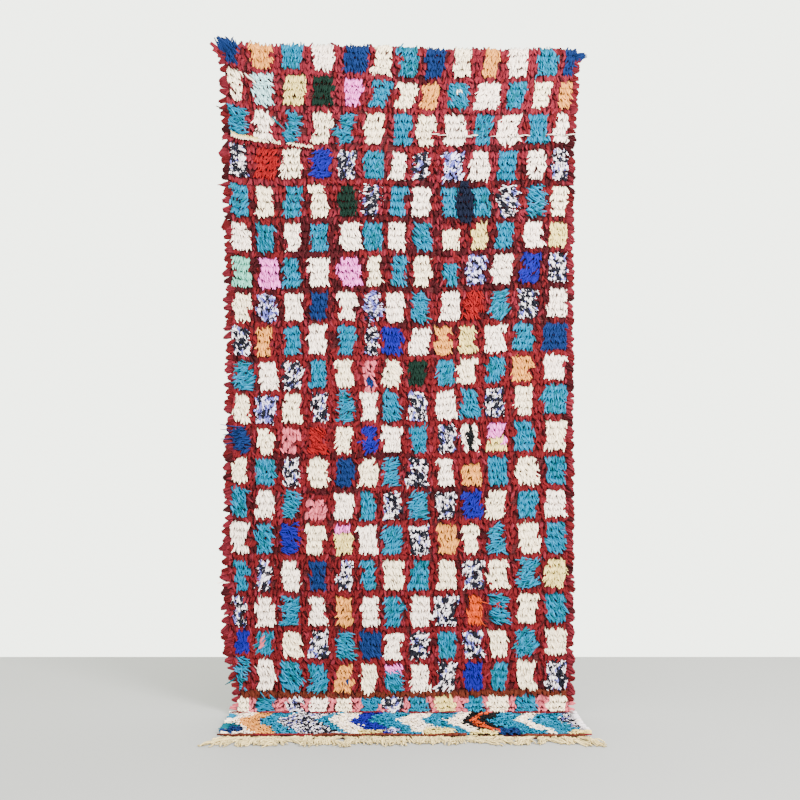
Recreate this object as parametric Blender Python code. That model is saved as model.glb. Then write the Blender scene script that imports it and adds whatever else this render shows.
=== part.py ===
"""A boucherouite rug, knotted from rag strips, that hangs from its top edge and turns forward onto the floor.

The cloth is one lumpy slab of pile on its woven ground. Rag locks stand out of a narrow strip along each side,
and the warp ends lie on the floor in front as a fringe. Metres, +Z up, pile towards -Y where it hangs.
"""

import math

import bmesh
import bpy
from mathutils import Vector, noise

# The cloth in side view, from the top edge down and forward
TOP_HEIGHT = 2.220
TURN_RADIUS = 0.055
DROP = TOP_HEIGHT - TURN_RADIUS
FLOOR_RUN = 0.255
TURN_LENGTH = TURN_RADIUS * math.pi / 2
CLOTH_LENGTH = DROP + TURN_LENGTH + FLOOR_RUN

# The pile
PILE_DEPTH = 0.020
BAND_PITCH = 0.115
BAND_CREST = 0.78
BAND_RELIEF = 0.0045
ROW_RELIEF = 0.0018
LUMP_RELIEF = 0.0065
LUMPS_ACROSS = 13.0
LUMPS_PER_METRE = 9.0
TUFTS_ACROSS = 37.0
TUFTS_PER_METRE = 21.0

# Steps of the loft: one for each row of rag locks along a side
DROP_STEPS = 92
TURN_STEPS = 4
FLOOR_STEPS = 11
CLOTH_STEPS = DROP_STEPS + TURN_STEPS + FLOOR_STEPS
SPLIT_STEP = DROP_STEPS + TURN_STEPS // 2
FRONT_STEPS = 26
BACK_STEPS = 6

# Strips and locks along the sides
GAP = 0.0003
STRIP_WIDTH = 0.010
STRIP_DEPTH = 0.014
LOCK_LENGTH = 0.014
LOCK_LENGTH_VARIES = 0.009
LOCK_TIP_SHARE = 0.28
LOCK_DROOP = 0.007
LOCK_DROOP_VARIES = 0.004
LOCK_SWAY = 0.005

# Warp fringe in front
FRINGE_STRANDS = 84
HEADING_WIDTH = 0.008
HEADING_DEPTH = 0.006
STRAND_NECK = 0.012
STRAND_LENGTH = 0.082
STRAND_LENGTH_VARIES = 0.014
STRAND_NECK_SHARE = 0.42
STRAND_TIP_SHARE = 0.50
STRAND_FAN = 0.022
STRAND_WAVE = 0.009
STRAND_JITTER = 0.0022

# Where the cloth stands, so that the middle of its box is the origin
SWAY_DEPTH = 0.007
FRINGE_REACH = HEADING_WIDTH + STRAND_NECK + STRAND_LENGTH + STRAND_LENGTH_VARIES
BACK_Y = (TURN_RADIUS + FLOOR_RUN + FRINGE_REACH) / 2 - SWAY_DEPTH
FRONT_Y = BACK_Y - TURN_RADIUS - FLOOR_RUN

# How far the tips of the side locks reach, by the distance down the cloth
DOWN, LEFT, RIGHT = range(3)
SIDE_REACH = [
    (0.00, -0.612, 0.612),
    (0.06, -0.606, 0.603),
    (0.18, -0.602, 0.593),
    (0.35, -0.598, 0.583),
    (0.70, -0.587, 0.580),
    (1.24, -0.582, 0.580),
    (1.50, -0.587, 0.581),
    (1.70, -0.598, 0.582),
    (2.00, -0.592, 0.581),
    (2.13, -0.563, 0.581),
    (2.25, -0.560, 0.582),
    (2.51, -0.560, 0.589),
]

# Height of the top edge, by the share of the width from the left; the left corner is pulled up into an ear
ACROSS, HEIGHT = range(2)
TOP_EDGE = [
    (0.00, 2.244),
    (0.04, 2.230),
    (0.12, 2.226),
    (0.30, 2.220),
    (0.45, 2.222),
    (0.60, 2.213),
    (0.80, 2.209),
    (0.95, 2.208),
    (1.00, 2.204),
]

# Creases that run across the hanging cloth: where, how deep and how wide, and where across they are deepest
CREASE_DOWN, CREASE_DEPTH, CREASE_HALF, CREASE_MIDDLE = range(4)
CREASES = [
    (0.100, 0.009, 0.040, 0.55),
    (0.322, 0.010, 0.045, 0.35),
    (0.452, 0.008, 0.040, 0.65),
    (0.930, 0.005, 0.060, 0.20),
    (1.560, 0.006, 0.070, 0.75),
    (1.985, 0.007, 0.055, 0.30),
]
CREASE_SPREAD = 0.45
CREASE_WANDER = 0.02
SWAY_ENDS_BEFORE_TURN = 0.18

MATERIALS = {
    "rag_pile": ((0.46, 0.09, 0.11, 1.0), 0.95),
    "rag_edge": ((0.42, 0.05, 0.08, 1.0), 0.95),
    "cotton_warp": ((0.66, 0.60, 0.46, 1.0), 0.9),
}


def clear_scene():
    for found in list(bpy.data.objects):
        bpy.data.objects.remove(found, do_unlink=True)


def ease(share):
    """Smooth step from 0 to 1."""
    share = min(1.0, max(0.0, share))
    return share * share * (3 - 2 * share)


def read(table, column, at):
    """A table's column at a place along its first column, eased from row to row."""
    for low, high in zip(table, table[1:]):
        if at <= high[0]:
            share = ease((at - low[0]) / (high[0] - low[0]))
            return low[column] + (high[column] - low[column]) * share
    return table[-1][column]


def grain(*place):
    """Smooth noise between about -1 and 1, the same in each run."""
    return noise.noise(Vector(place))


def station(step):
    """Distance down the cloth of a loft step; the turn starts and ends on one."""
    if step <= DROP_STEPS:
        return DROP * step / DROP_STEPS
    if step <= DROP_STEPS + TURN_STEPS:
        return DROP + TURN_LENGTH * (step - DROP_STEPS) / TURN_STEPS
    return CLOTH_LENGTH - FLOOR_RUN * (CLOTH_STEPS - step) / FLOOR_STEPS


def sway(across, down):
    """How far the hanging cloth stands back from its plane, with its creases; none at the turn."""
    fade = ease((DROP - down) / SWAY_ENDS_BEFORE_TURN)
    back = SWAY_DEPTH * grain(across * 1.7, down * 1.3, 4.0)
    for crease in CREASES:
        wander = CREASE_WANDER * grain(across * 4, crease[CREASE_DOWN], 7.0)
        near = (down - crease[CREASE_DOWN] + wander) / crease[CREASE_HALF]
        side = (across - crease[CREASE_MIDDLE]) / CREASE_SPREAD
        back += crease[CREASE_DEPTH] * math.exp(-near * near - side * side)
    return back * fade


def edge(side, down):
    """Side of the slab: the lock tips' reach less the strip and a lock."""
    inset = STRIP_WIDTH + LOCK_LENGTH
    reach = read(SIDE_REACH, side, down)
    return reach + inset if side == LEFT else reach - inset


def place(across, down, depth, x=None):
    """A point of the cloth: share of its width, distance down it, and depth of pile in front of its back."""
    if x is None:
        x = edge(LEFT, down) * (1 - across) + edge(RIGHT, down) * across
    if down <= DROP:
        top = read(TOP_EDGE, HEIGHT, across)
        z = TURN_RADIUS + (top - TURN_RADIUS) * (1 - down / DROP)
        return Vector((x, BACK_Y + sway(across, down) - depth, z))
    if down <= DROP + TURN_LENGTH:
        angle = (down - DROP) / TURN_RADIUS
        radius = TURN_RADIUS - depth
        y = BACK_Y - TURN_RADIUS + radius * math.cos(angle)
        return Vector((x, y, TURN_RADIUS - radius * math.sin(angle)))
    return Vector((x, FRONT_Y + CLOTH_LENGTH - down, depth))


def shingle(down):
    """From -1 to 1 down each band of rows, whose tufts lie over the band below like shingles."""
    share = (down / BAND_PITCH) % 1.0
    if share < BAND_CREST:
        return 2 * share / BAND_CREST - 1
    return 1 - 2 * (share - BAND_CREST) / (1 - BAND_CREST)


def pile_depth(across, step):
    """Thickness of the slab there: bands that overlap downwards, the steps of their rows, and uneven lumps."""
    down = station(step)
    row = BAND_RELIEF * shingle(down) + (ROW_RELIEF if step % 2 else -ROW_RELIEF)
    lump = grain(across * LUMPS_ACROSS, down * LUMPS_PER_METRE, 1.0)
    tuft = grain(across * TUFTS_ACROSS, down * TUFTS_PER_METRE, 2.0)
    return PILE_DEPTH + row + LUMP_RELIEF * (0.6 * lump + 0.6 * tuft)


def loft(sections):
    """A closed solid through sections of the same number of points, and its walls by section and side."""
    bm = bmesh.new()
    rings = [[bm.verts.new(point) for point in section] for section in sections]
    walls = []
    for near, far in zip(rings, rings[1:]):
        sides = zip(near, near[1:] + near[:1], far[1:] + far[:1], far)
        walls.append([bm.faces.new(corners) for corners in sides])
    bm.faces.new(rings[0])
    bm.faces.new(rings[-1])
    bmesh.ops.recalc_face_normals(bm, faces=bm.faces)
    return bm, walls


def add_object(name, bm, material, collection):
    mesh = bpy.data.meshes.new(name)
    bm.to_mesh(mesh)
    bm.free()
    mesh.materials.append(material)
    made = bpy.data.objects.new(name, mesh)
    collection.objects.link(made)
    return made


def make_material(name):
    colour, roughness = MATERIALS[name]
    made = bpy.data.materials.new(name)
    made.use_nodes = True
    shader = made.node_tree.nodes["Principled BSDF"]
    shader.inputs["Base Color"].default_value = colour
    shader.inputs["Roughness"].default_value = roughness
    return made


def make_field(collection, material):
    """The pile on its ground, as one slab from the top edge to the heading."""
    front_shares = [column / FRONT_STEPS for column in range(FRONT_STEPS + 1)]
    back_shares = [1 - column / BACK_STEPS for column in range(BACK_STEPS + 1)]
    sections = []
    for step in range(CLOTH_STEPS + 1):
        down = station(step)
        front = [place(share, down, pile_depth(share, step)) for share in front_shares]
        back = [place(share, down, 0.0) for share in back_shares]
        sections.append(front + back)
    bm, _ = loft(sections)
    add_object("rug_field", bm, material, collection)


def draw_lock(bm, face, outward, key, hanging):
    """Draws one face of a strip out into a tapered lock of rags."""
    middle = face.calc_center_median()
    tip = bmesh.ops.extrude_discrete_faces(bm, faces=[face])["faces"][0]
    length = LOCK_LENGTH + LOCK_LENGTH_VARIES * grain(key * 0.73, outward, 11.0) * 1.6
    droop = (LOCK_DROOP + LOCK_DROOP_VARIES * grain(key * 0.91, outward, 12.0)) * (1.0 if hanging else 0.4)
    shift = Vector((outward * length, LOCK_SWAY * grain(key * 0.61, outward, 13.0), -droop))
    for corner in tip.verts:
        corner.co = middle + (corner.co - middle) * LOCK_TIP_SHARE + shift
        corner.co.z = max(corner.co.z, 0.0)


def make_edge(name, side, first_step, last_step, collection, material):
    """A strip beside the slab from one loft step to another, with one rag lock on each step."""
    outward = -1.0 if side == LEFT else 1.0
    across = 0.0 if side == LEFT else 1.0
    sections = []
    for step in range(first_step, last_step + 1):
        down = station(step)
        if step == first_step and first_step > 0:
            down += GAP
        inner = edge(side, station(step)) + outward * GAP
        outer = inner + outward * STRIP_WIDTH
        corners = [(inner, 0.0), (inner, STRIP_DEPTH), (outer, STRIP_DEPTH), (outer, 0.0)]
        sections.append([place(across, down, depth, x) for x, depth in corners])
    bm, walls = loft(sections)
    for step, ring in enumerate(walls, start=first_step):
        draw_lock(bm, ring[2], outward, step, hanging=last_step == SPLIT_STEP)
    bmesh.ops.recalc_face_normals(bm, faces=bm.faces)
    add_object(name, bm, material, collection)


def draw_strand(bm, face, share, key):
    """Draws one face of the heading out into a warp end that lies level on the floor."""
    fan = STRAND_FAN * (2 * share - 1) ** 3
    wave = STRAND_WAVE * grain(share * 5.0, 3.0, 21.0)
    jitter = STRAND_JITTER * grain(key * 0.83, 5.0, 22.0) * 1.6
    length = STRAND_LENGTH + STRAND_LENGTH_VARIES * grain(key * 0.67, 8.0, 23.0) * 1.4
    steps = [
        (STRAND_NECK_SHARE, 0.75, Vector((0.2 * fan, -STRAND_NECK, 0))),
        (STRAND_TIP_SHARE, 0.60, Vector((fan + wave + jitter, -length, 0))),
    ]
    for width_share, depth_share, shift in steps:
        middle = face.calc_center_median()
        face = bmesh.ops.extrude_discrete_faces(bm, faces=[face])["faces"][0]
        for corner in face.verts:
            corner.co.x = middle.x + (corner.co.x - middle.x) * width_share
            corner.co.z *= depth_share
            corner.co += shift


def make_fringe(collection, material):
    """A narrow heading in front of the pile's end, with the loose warp ends fused into it."""
    left = edge(LEFT, CLOTH_LENGTH)
    right = edge(RIGHT, CLOTH_LENGTH)
    back = FRONT_Y - GAP
    front = back - HEADING_WIDTH
    corners = [(back, 0.0), (back, HEADING_DEPTH), (front, HEADING_DEPTH), (front, 0.0)]
    sections = []
    for strand in range(FRINGE_STRANDS + 1):
        x = left + (right - left) * strand / FRINGE_STRANDS
        sections.append([Vector((x, y, z)) for y, z in corners])
    bm, walls = loft(sections)
    for strand, ring in enumerate(walls):
        draw_strand(bm, ring[2], (strand + 0.5) / FRINGE_STRANDS, strand)
    bmesh.ops.recalc_face_normals(bm, faces=bm.faces)
    add_object("warp_fringe", bm, material, collection)


def main():
    clear_scene()
    collection = bpy.data.collections.new("boucherouite_rug")
    bpy.context.scene.collection.children.link(collection)
    pile, rag, warp = (make_material(name) for name in MATERIALS)
    make_field(collection, pile)
    for word, side in (("left", LEFT), ("right", RIGHT)):
        make_edge(f"{word}_edge_hanging", side, 0, SPLIT_STEP, collection, rag)
        make_edge(f"{word}_edge_floor", side, SPLIT_STEP, CLOTH_STEPS, collection, rag)
    make_fringe(collection, warp)


main()
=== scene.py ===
"""A boucherouite rug: rag pile in a lattice of coloured cells, with side locks and a warp fringe."""

import math

import bmesh
import bpy
import numpy as np
from bpy.props import FloatProperty, FloatVectorProperty, IntProperty, PointerProperty
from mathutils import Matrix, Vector, noise


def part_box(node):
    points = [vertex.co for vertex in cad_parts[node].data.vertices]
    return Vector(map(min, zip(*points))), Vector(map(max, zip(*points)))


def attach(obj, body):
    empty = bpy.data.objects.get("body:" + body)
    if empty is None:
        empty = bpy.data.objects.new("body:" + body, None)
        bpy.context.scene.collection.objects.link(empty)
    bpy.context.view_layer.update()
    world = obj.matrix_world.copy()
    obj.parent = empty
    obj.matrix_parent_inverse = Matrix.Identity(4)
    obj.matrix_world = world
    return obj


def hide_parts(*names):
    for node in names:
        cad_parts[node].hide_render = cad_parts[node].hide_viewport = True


bl_info = {
    "name": "Boucherouite rug",
    "version": (1, 0, 0),
    "blender": (4, 5, 0),
    "location": "3D View > Sidebar > Rug",
    "description": "Knots a shaggy rag rug that hangs and turns onto the floor",
    "category": "Add Mesh",
}

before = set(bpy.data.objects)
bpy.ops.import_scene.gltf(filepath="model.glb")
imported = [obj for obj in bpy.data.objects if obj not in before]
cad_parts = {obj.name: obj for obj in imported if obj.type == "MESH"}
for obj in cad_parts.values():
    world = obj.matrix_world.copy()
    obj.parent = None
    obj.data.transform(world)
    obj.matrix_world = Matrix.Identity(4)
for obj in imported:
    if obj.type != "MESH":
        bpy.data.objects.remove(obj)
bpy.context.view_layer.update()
FIELD_LOW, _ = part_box("rug_field")

# The cloth in side view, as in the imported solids, in metres
TOP_HEIGHT = 2.220
TURN_RADIUS = 0.055
DROP = TOP_HEIGHT - TURN_RADIUS
TURN_LENGTH = TURN_RADIUS * math.pi / 2
FRONT_Y = FIELD_LOW.y
FLOOR_RUN = 0.255
BACK_Y = FRONT_Y + FLOOR_RUN + TURN_RADIUS
CLOTH_LENGTH = DROP + TURN_LENGTH + FLOOR_RUN
MEAN_WIDTH = 1.13

# From a lock's tip to the cloth, the least radius inside the turn, how far rag ends stay over the floor, and
# how far in front of the cloth's back they are rooted
STRIP_AND_LOCK = 0.024
LEAST_RADIUS = 0.004
FLOOR_CLEARANCE = 0.0004
ROOT_HEIGHT = 0.004

# The woven ground: how far it stands in front of the solid's back, its overhang and its grid
GROUND_BACK = 0.0022
GROUND_OVERHANG = 0.004
GROUND_GRID = (40, 180)

# The back of one knot: its height and how far it stands out behind the ground
KNOT_HEIGHT = 0.0115
KNOT_BACK = 0.0034

# fmt: off
# How far across the tips of the side locks reach, by the distance down the cloth
LEFT, RIGHT = 1, 2
SIDE_REACH = [
    (0.00, -0.612, 0.612), (0.06, -0.606, 0.603), (0.18, -0.602, 0.593), (0.35, -0.598, 0.583),
    (0.70, -0.587, 0.580), (1.24, -0.582, 0.580), (1.50, -0.587, 0.581), (1.70, -0.598, 0.582),
    (2.00, -0.592, 0.581), (2.13, -0.563, 0.581), (2.25, -0.560, 0.582), (2.51, -0.560, 0.589),
]

# Height of the top edge, by the share of the width from the left
HEIGHT = 1
TOP_EDGE = [
    (0.00, 2.244), (0.04, 2.230), (0.12, 2.221), (0.30, 2.220), (0.45, 2.222), (0.60, 2.213),
    (0.80, 2.213), (0.95, 2.214), (1.00, 2.212),
]

# Creases across the hanging cloth: where down it, how deep, how wide, and where across they are deepest
CREASES = [
    (0.100, 0.009, 0.040, 0.55), (0.322, 0.010, 0.045, 0.35), (0.452, 0.008, 0.040, 0.65),
    (0.930, 0.005, 0.060, 0.20), (1.560, 0.006, 0.070, 0.75), (1.985, 0.007, 0.055, 0.30),
]
CREASE_SPREAD = 0.45
CREASE_WANDER = 0.02
SWAY_DEPTH = 0.007
SWAY_ENDS_BEFORE_TURN = 0.18
SWAY_STEP = 0.02
SWAY_FROM, SWAY_TO = -0.04, 1.06

# Distance down the cloth of the red row above each band of cells, and of the last band's end, at four
# places across
ROW_PLACES = (0.03, 0.27, 0.50, 0.97)
RED_ROWS = [
    (-0.014, -0.014, -0.012, -0.012), (0.073, 0.081, 0.105, 0.093), (0.198, 0.206, 0.210, 0.203),
    (0.317, 0.328, 0.336, 0.321), (0.452, 0.445, 0.449, 0.444), (0.583, 0.575, 0.571, 0.568),
    (0.694, 0.688, 0.682, 0.667), (0.817, 0.804, 0.805, 0.787), (0.928, 0.912, 0.924, 0.902),
    (1.044, 1.029, 1.034, 1.011), (1.156, 1.141, 1.136, 1.107), (1.264, 1.257, 1.253, 1.227),
    (1.362, 1.360, 1.356, 1.349), (1.460, 1.476, 1.470, 1.462), (1.572, 1.582, 1.583, 1.569),
    (1.698, 1.699, 1.697, 1.692), (1.818, 1.819, 1.818, 1.806), (1.941, 1.935, 1.941, 1.924),
    (2.019, 2.047, 2.046, 2.030), (2.152, 2.158, 2.154, 2.146), (2.246, 2.246, 2.246, 2.246),
    (2.500, 2.500, 2.500, 2.500),
]
NARROW_BAND = 19
FLOOR_BAND = 20
FLOOR_START = RED_ROWS[FLOOR_BAND][0]
ROWS_IN_BAND = 5
NARROW_ROWS = 4
FLOOR_ROWS = 12

# Middle of each column of cells across the room, by the distance down the cloth
COLUMNS = [
    (0.04, -0.570, -0.464, -0.358, -0.254, -0.152, -0.054, 0.032, 0.115, 0.209, 0.308, 0.397, 0.487, 0.576),
    (0.14, -0.544, -0.458, -0.356, -0.250, -0.156, -0.068, 0.020, 0.101, 0.193, 0.296, 0.382, 0.475, 0.550),
    (0.27, -0.544, -0.452, -0.362, -0.260, -0.179, -0.087, 0.008, 0.082, 0.181, 0.274, 0.365, 0.459, 0.540),
    (0.51, -0.533, -0.449, -0.360, -0.270, -0.177, -0.091, -0.011, 0.071, 0.170, 0.271, 0.358, 0.453, 0.534),
    (0.74, -0.529, -0.439, -0.360, -0.270, -0.168, -0.085, -0.009, 0.075, 0.172, 0.252, 0.338, 0.435, 0.528),
    (1.08, -0.521, -0.444, -0.358, -0.270, -0.181, -0.101, -0.028, 0.061, 0.150, 0.224, 0.316, 0.409, 0.515),
    (1.64, -0.536, -0.452, -0.366, -0.276, -0.185, -0.106, -0.023, 0.067, 0.158, 0.244, 0.330, 0.428, 0.522),
    (2.10, -0.527, -0.449, -0.360, -0.269, -0.184, -0.101, -0.025, 0.066, 0.151, 0.245, 0.327, 0.416, 0.519),
]

# Half the width of a cell, as a share of the spacing of its columns, and how far its rows stray in metres
CELL_SHARE = 0.318
ROW_JITTER = 0.0032

# Cream and turquoise take turns along each band: whether turquoise has the odd or even columns at the left,
# and the columns, from 1, from which the turns swap
TURNS = [
    ("odd", 8), ("even", 8), ("odd", 9), ("even", 9), ("odd", 10),
    ("even", 10), ("odd", 10), ("even", 10), ("odd", 10), ("odd", 3, 8),
    ("even", 4, 8, 11), ("even",), ("even", 3), ("odd", 4), ("even", 3),
    ("odd", 2), ("odd",), ("even",), ("odd",), ("even",),
]

# Cells knotted from other scraps, or out of turn, by band and column from 1
SCRAPS = {
    "turquoise": [(18, 5), (18, 9), (19, 4)],
    "cream": [(8, 13), (10, 13), (12, 2), (12, 10), (13, 9), (20, 4)],
    "navy": [(1, 1), (1, 5), (1, 8), (1, 13), (8, 4), (9, 13), (12, 1), (13, 5), (16, 4), (18, 6)],
    "royal": [(4, 4), (7, 12), (9, 7), (12, 6), (14, 10), (15, 3), (18, 1), (19, 10)],
    "ivory": [(20, 1), (20, 5), (20, 13), (2, 1)],
    "peach": [
        (1, 2), (1, 10), (2, 8), (2, 13), (9, 2), (9, 9), (10, 12), (13, 10), (15, 9), (17, 5), (19, 5),
    ],
    "pink": [(2, 5), (7, 2), (7, 5), (12, 11)],
    "green": [(2, 4), (5, 5), (10, 8)],
    "scarlet": [(4, 2), (8, 10), (12, 4)],
    "coral": [(10, 6), (12, 3), (14, 4)],
    "orange": [(17, 10)],
    "mint": [(7, 1)],
    "mist": [(2, 2)],
    "straw": [(2, 3), (6, 10), (6, 13), (9, 10), (15, 5), (16, 13), (20, 9)],
    "lilac_print": [(4, 9), (7, 10), (8, 2), (8, 6), (11, 2), (18, 9)],
    "black_print": [
        (4, 1), (4, 5), (4, 8), (4, 13), (5, 6), (5, 11), (7, 13), (8, 12), (9, 1), (9, 6), (10, 3), (11, 4),
        (11, 8), (11, 11), (12, 9), (13, 3), (13, 8), (14, 7), (14, 9), (15, 8), (16, 2), (16, 5), (16, 10),
        (17, 1), (17, 9), (18, 4), (18, 8), (18, 10), (19, 9), (19, 13), (20, 3), (20, 7),
    ],
}

# How the rag ends of some cells lie, in radians from straight down
LAYS = {
    (1, 1): 0.6, (2, 1): 0.25, (2, 2): 0.62, (2, 5): 0.0, (3, 1): 1.3, (3, 5): -1.0, (4, 2): -0.45,
    (7, 5): 0.1, (12, 1): -1.3, (19, 1): 0.9,
}

# Cells that stand out of line: how far to the right they are moved, and how much wider each half of them is
OUT_OF_LINE = {
    (1, 1): (-0.004, -0.006), (1, 5): (0.000, 0.004), (1, 10): (0.000, -0.006), (1, 12): (0.006, 0.008),
    (1, 13): (0.006, 0.000),
    (2, 1): (-0.006, -0.005), (2, 2): (-0.006, 0.004), (2, 5): (0.004, -0.003), (3, 1): (-0.004, 0.000),
    (4, 2): (0.006, 0.007), (4, 4): (0.006, 0.002), (4, 5): (0.006, 0.000), (4, 6): (0.008, 0.000),
    (9, 1): (-0.004, 0.000), (9, 2): (-0.014, -0.002), (9, 9): (-0.018, 0.000), (9, 10): (-0.012, 0.004),
    (9, 11): (-0.010, 0.000), (9, 13): (0.004, 0.010), (10, 6): (-0.003, -0.001), (16, 1): (0.004, -0.006),
    (17, 1): (0.000, -0.005), (18, 1): (0.002, -0.009), (18, 6): (0.008, 0.004),
}

# Cells whose top row of knots is red instead, by band and column from 1
SHORT_CELLS = [(7, 9), (13, 10), (14, 4), (6, 9)]

# Patches inside or between cells: rag, place across and down, half width and half height
PATCHES = [
    ("ink", 0.216, 0.512, 0.032, 0.070), ("black", 0.233, 1.300, 0.014, 0.036),
    ("pink", -0.190, 1.602, 0.024, 0.012), ("straw", 0.318, 1.320, 0.036, 0.019),
    ("pink", -0.022, 2.066, 0.026, 0.012), ("coral", -0.459, 1.980, 0.008, 0.028),
    ("scarlet", 0.322, 1.865, 0.008, 0.010), ("navy", -0.175, 2.108, 0.007, 0.010),
    ("navy", -0.100, 1.120, 0.014, 0.008), ("coral", -0.100, 1.139, 0.020, 0.008),
    ("scarlet", -0.023, 1.417, 0.006, 0.006), ("cream", 0.195, 0.136, 0.009, 0.009),
    ("teal", -0.545, 2.425, 0.046, 0.052), ("navy", -0.520, 2.450, 0.032, 0.034),
    ("straw", 0.118, 2.464, 0.052, 0.034), ("straw", -0.092, 2.474, 0.042, 0.024),
    ("lilac_print", -0.025, 2.462, 0.030, 0.026), ("straw", 0.262, 2.484, 0.046, 0.024),
    ("straw", 0.560, 2.482, 0.050, 0.026), ("black", 0.287, 2.294, 0.034, 0.028),
    ("navy", 0.338, 2.464, 0.042, 0.036), ("turquoise", 0.420, 2.470, 0.040, 0.024),
    ("turquoise", -0.558, 2.292, 0.034, 0.030), ("russet", -0.440, 2.262, 0.022, 0.010),
    ("navy", -0.447, 2.345, 0.010, 0.012),
]

# Chevrons on the floor: where across each one's tip lies, in metres, and its rag
CHEVRONS = [
    (-9.000, "teal"), (-0.625, "cream"), (-0.527, "peach"), (-0.460, "turquoise"),
    (-0.396, "black_print"), (-0.265, "turquoise"), (-0.232, "cream"), (-0.168, "royal"),
    (-0.100, "turquoise"), (-0.010, "cream"), (0.064, "turquoise"), (0.145, "cream"), (0.187, "black"),
    (0.215, "orange"), (0.246, "black"), (0.284, "turquoise"), (0.367, "cream"), (0.410, "turquoise"),
    (0.500, "black_print"), (0.558, "cream"),
]
CHEVRON_TIP = 0.10
CHEVRON_SLOPE = 0.55
CHEVRON_WANDER = 0.020

# Loose strands over the pile: rag, the place across and down where each starts and ends, and its width
STRANDS = [
    ("straw", -0.562, 0.302, -0.472, 0.308, 0.0064), ("ivory", -0.562, 0.306, -0.462, 0.312, 0.0060),
    ("ivory", -0.458, 0.310, -0.440, 0.313, 0.0040), ("ivory", -0.425, 0.312, -0.398, 0.317, 0.0036),
    ("ivory", -0.375, 0.318, -0.290, 0.330, 0.0034), ("cream", 0.104, 0.284, 0.152, 0.286, 0.0032),
    ("cream", 0.214, 0.287, 0.256, 0.289, 0.0042), ("cream", 0.306, 0.290, 0.338, 0.290, 0.0030),
    ("cream", 0.386, 0.288, 0.430, 0.287, 0.0034), ("cream", 0.490, 0.286, 0.520, 0.285, 0.0032),
    ("cream", 0.553, 0.284, 0.586, 0.282, 0.0032), ("teal", -0.425, 0.234, -0.388, 0.270, 0.0060),
    ("cream", -0.516, 0.096, -0.482, 0.124, 0.0065), ("burgundy", -0.574, 0.236, -0.604, 0.218, 0.0060),
    ("raspberry", -0.566, 0.474, -0.603, 0.477, 0.0060), ("navy", -0.540, 1.272, -0.592, 1.266, 0.0038),
    ("navy", -0.540, 1.284, -0.594, 1.282, 0.0036), ("navy", -0.540, 1.296, -0.586, 1.300, 0.0040),
    ("navy", -0.540, 1.310, -0.592, 1.314, 0.0036), ("navy", -0.540, 1.324, -0.583, 1.330, 0.0038),
    ("orange", 0.262, 1.842, 0.290, 1.850, 0.0022), ("orange", 0.264, 1.900, 0.282, 1.924, 0.0022),
    ("teal", -0.545, 2.100, -0.577, 2.116, 0.0050), ("cream", -0.570, 1.783, -0.606, 1.787, 0.0045),
]

# How high they lie, the steps they are laid in, and the steps and length of the tufts on straw and ivory ones
STRAND_HEIGHT = 0.0225
STRAND_STEP = 0.024
TUFT_STEP = 0.0045
TUFT_LENGTH = 0.014

# Long rag ends at the top corners: rag, number, where across and down their tips lie, and the two places
# between which they are knotted
EARS = [
    ("navy", 36, -0.604, -0.007, -0.592, 0.070, -0.540, 0.030),
    ("raspberry", 9, -0.630, 0.012, -0.602, 0.030, -0.590, 0.046),
    ("raspberry", 9, -0.622, 0.030, -0.598, 0.040, -0.590, 0.060),
    ("navy", 26, 0.614, 0.017, 0.562, 0.008, 0.582, 0.046),
]

# Thin lines across the cloth: two rags, distance down, wander, width and height, then the place from which
# they have breaks, and the noise above which they break
RED_LINES = [
    ("russet", "brick", 2.502, 0.008, 0.0088, 0.0130, 0.10, 0.02),
    ("brick", "raspberry", 2.262, 0.006, 0.0060, 0.0215, -0.54, 0.00),
]

# Base colours of the rags, for the studio's bright surround
DYES = {
    "raspberry": (0.148, 0.0112, 0.0205), "brick": (0.106, 0.0058, 0.0084),
    "burgundy": (0.038, 0.003, 0.005), "russet": (0.084, 0.014, 0.007), "cream": (0.960, 0.790, 0.690),
    "ivory": (0.940, 0.770, 0.560), "straw": (0.704, 0.536, 0.184), "turquoise": (0.000, 0.140, 0.257),
    "teal": (0.000, 0.090, 0.125), "sky": (0.005, 0.180, 0.344), "coral": (0.540, 0.098, 0.130),
    "scarlet": (0.211, 0.005, 0.007), "orange": (0.517, 0.051, 0.007), "peach": (0.671, 0.257, 0.055),
    "pink": (0.846, 0.156, 0.589), "mint": (0.150, 0.500, 0.380), "mist": (0.400, 0.660, 0.700),
    "royal": (0.007, 0.006, 0.187), "navy": (0.005, 0.019, 0.088), "green": (0.004, 0.015, 0.010),
    "ink": (0.004, 0.006, 0.017), "black": (0.005, 0.005, 0.006), "lilac_print": (0.648, 0.576, 0.810),
    "black_print": (0.774, 0.684, 0.738),
}
PRINT_DARK = (0.007, 0.007, 0.012)
PRINT_LILAC = (0.110, 0.110, 0.400)

# The rags sorted into pieces
FAMILIES = {
    "raspberry": ("raspberry",),
    "brick": ("brick",),
    "dark_red": ("burgundy", "russet"),
    "natural": ("cream",),
    "ivory": ("ivory", "straw"),
    "turquoise": ("turquoise",),
    "teal": ("teal", "sky"),
    "warm_scraps": ("coral", "scarlet", "orange", "peach", "pink"),
    "cool_scraps": ("mint", "mist", "royal", "navy", "green", "ink", "black"),
    "prints": ("lilac_print", "black_print"),
}
GROUND_DYES = ("raspberry", "brick", "burgundy", "russet", "coral")

# Noise above which a stretch of red rags is burgundy, by its band
BURGUNDY_FROM = {
    0: 0.60, 1: 0.60, 2: 0.60, 4: 0.14, 5: -0.12, 6: -0.12, 7: -0.12, 8: 0.14, 12: 0.14, 13: 0.14, 14: 0.14,
}
BURGUNDY_ELSEWHERE = 0.42
# fmt: on

WARP_COLOUR = (0.780, 0.590, 0.275)
GROUND_COLOUR = (0.060, 0.010, 0.012)
FLOOR_COLOUR = (0.226, 0.222, 0.222)
SKY_COLOUR = (0.950, 0.990, 0.880)

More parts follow.
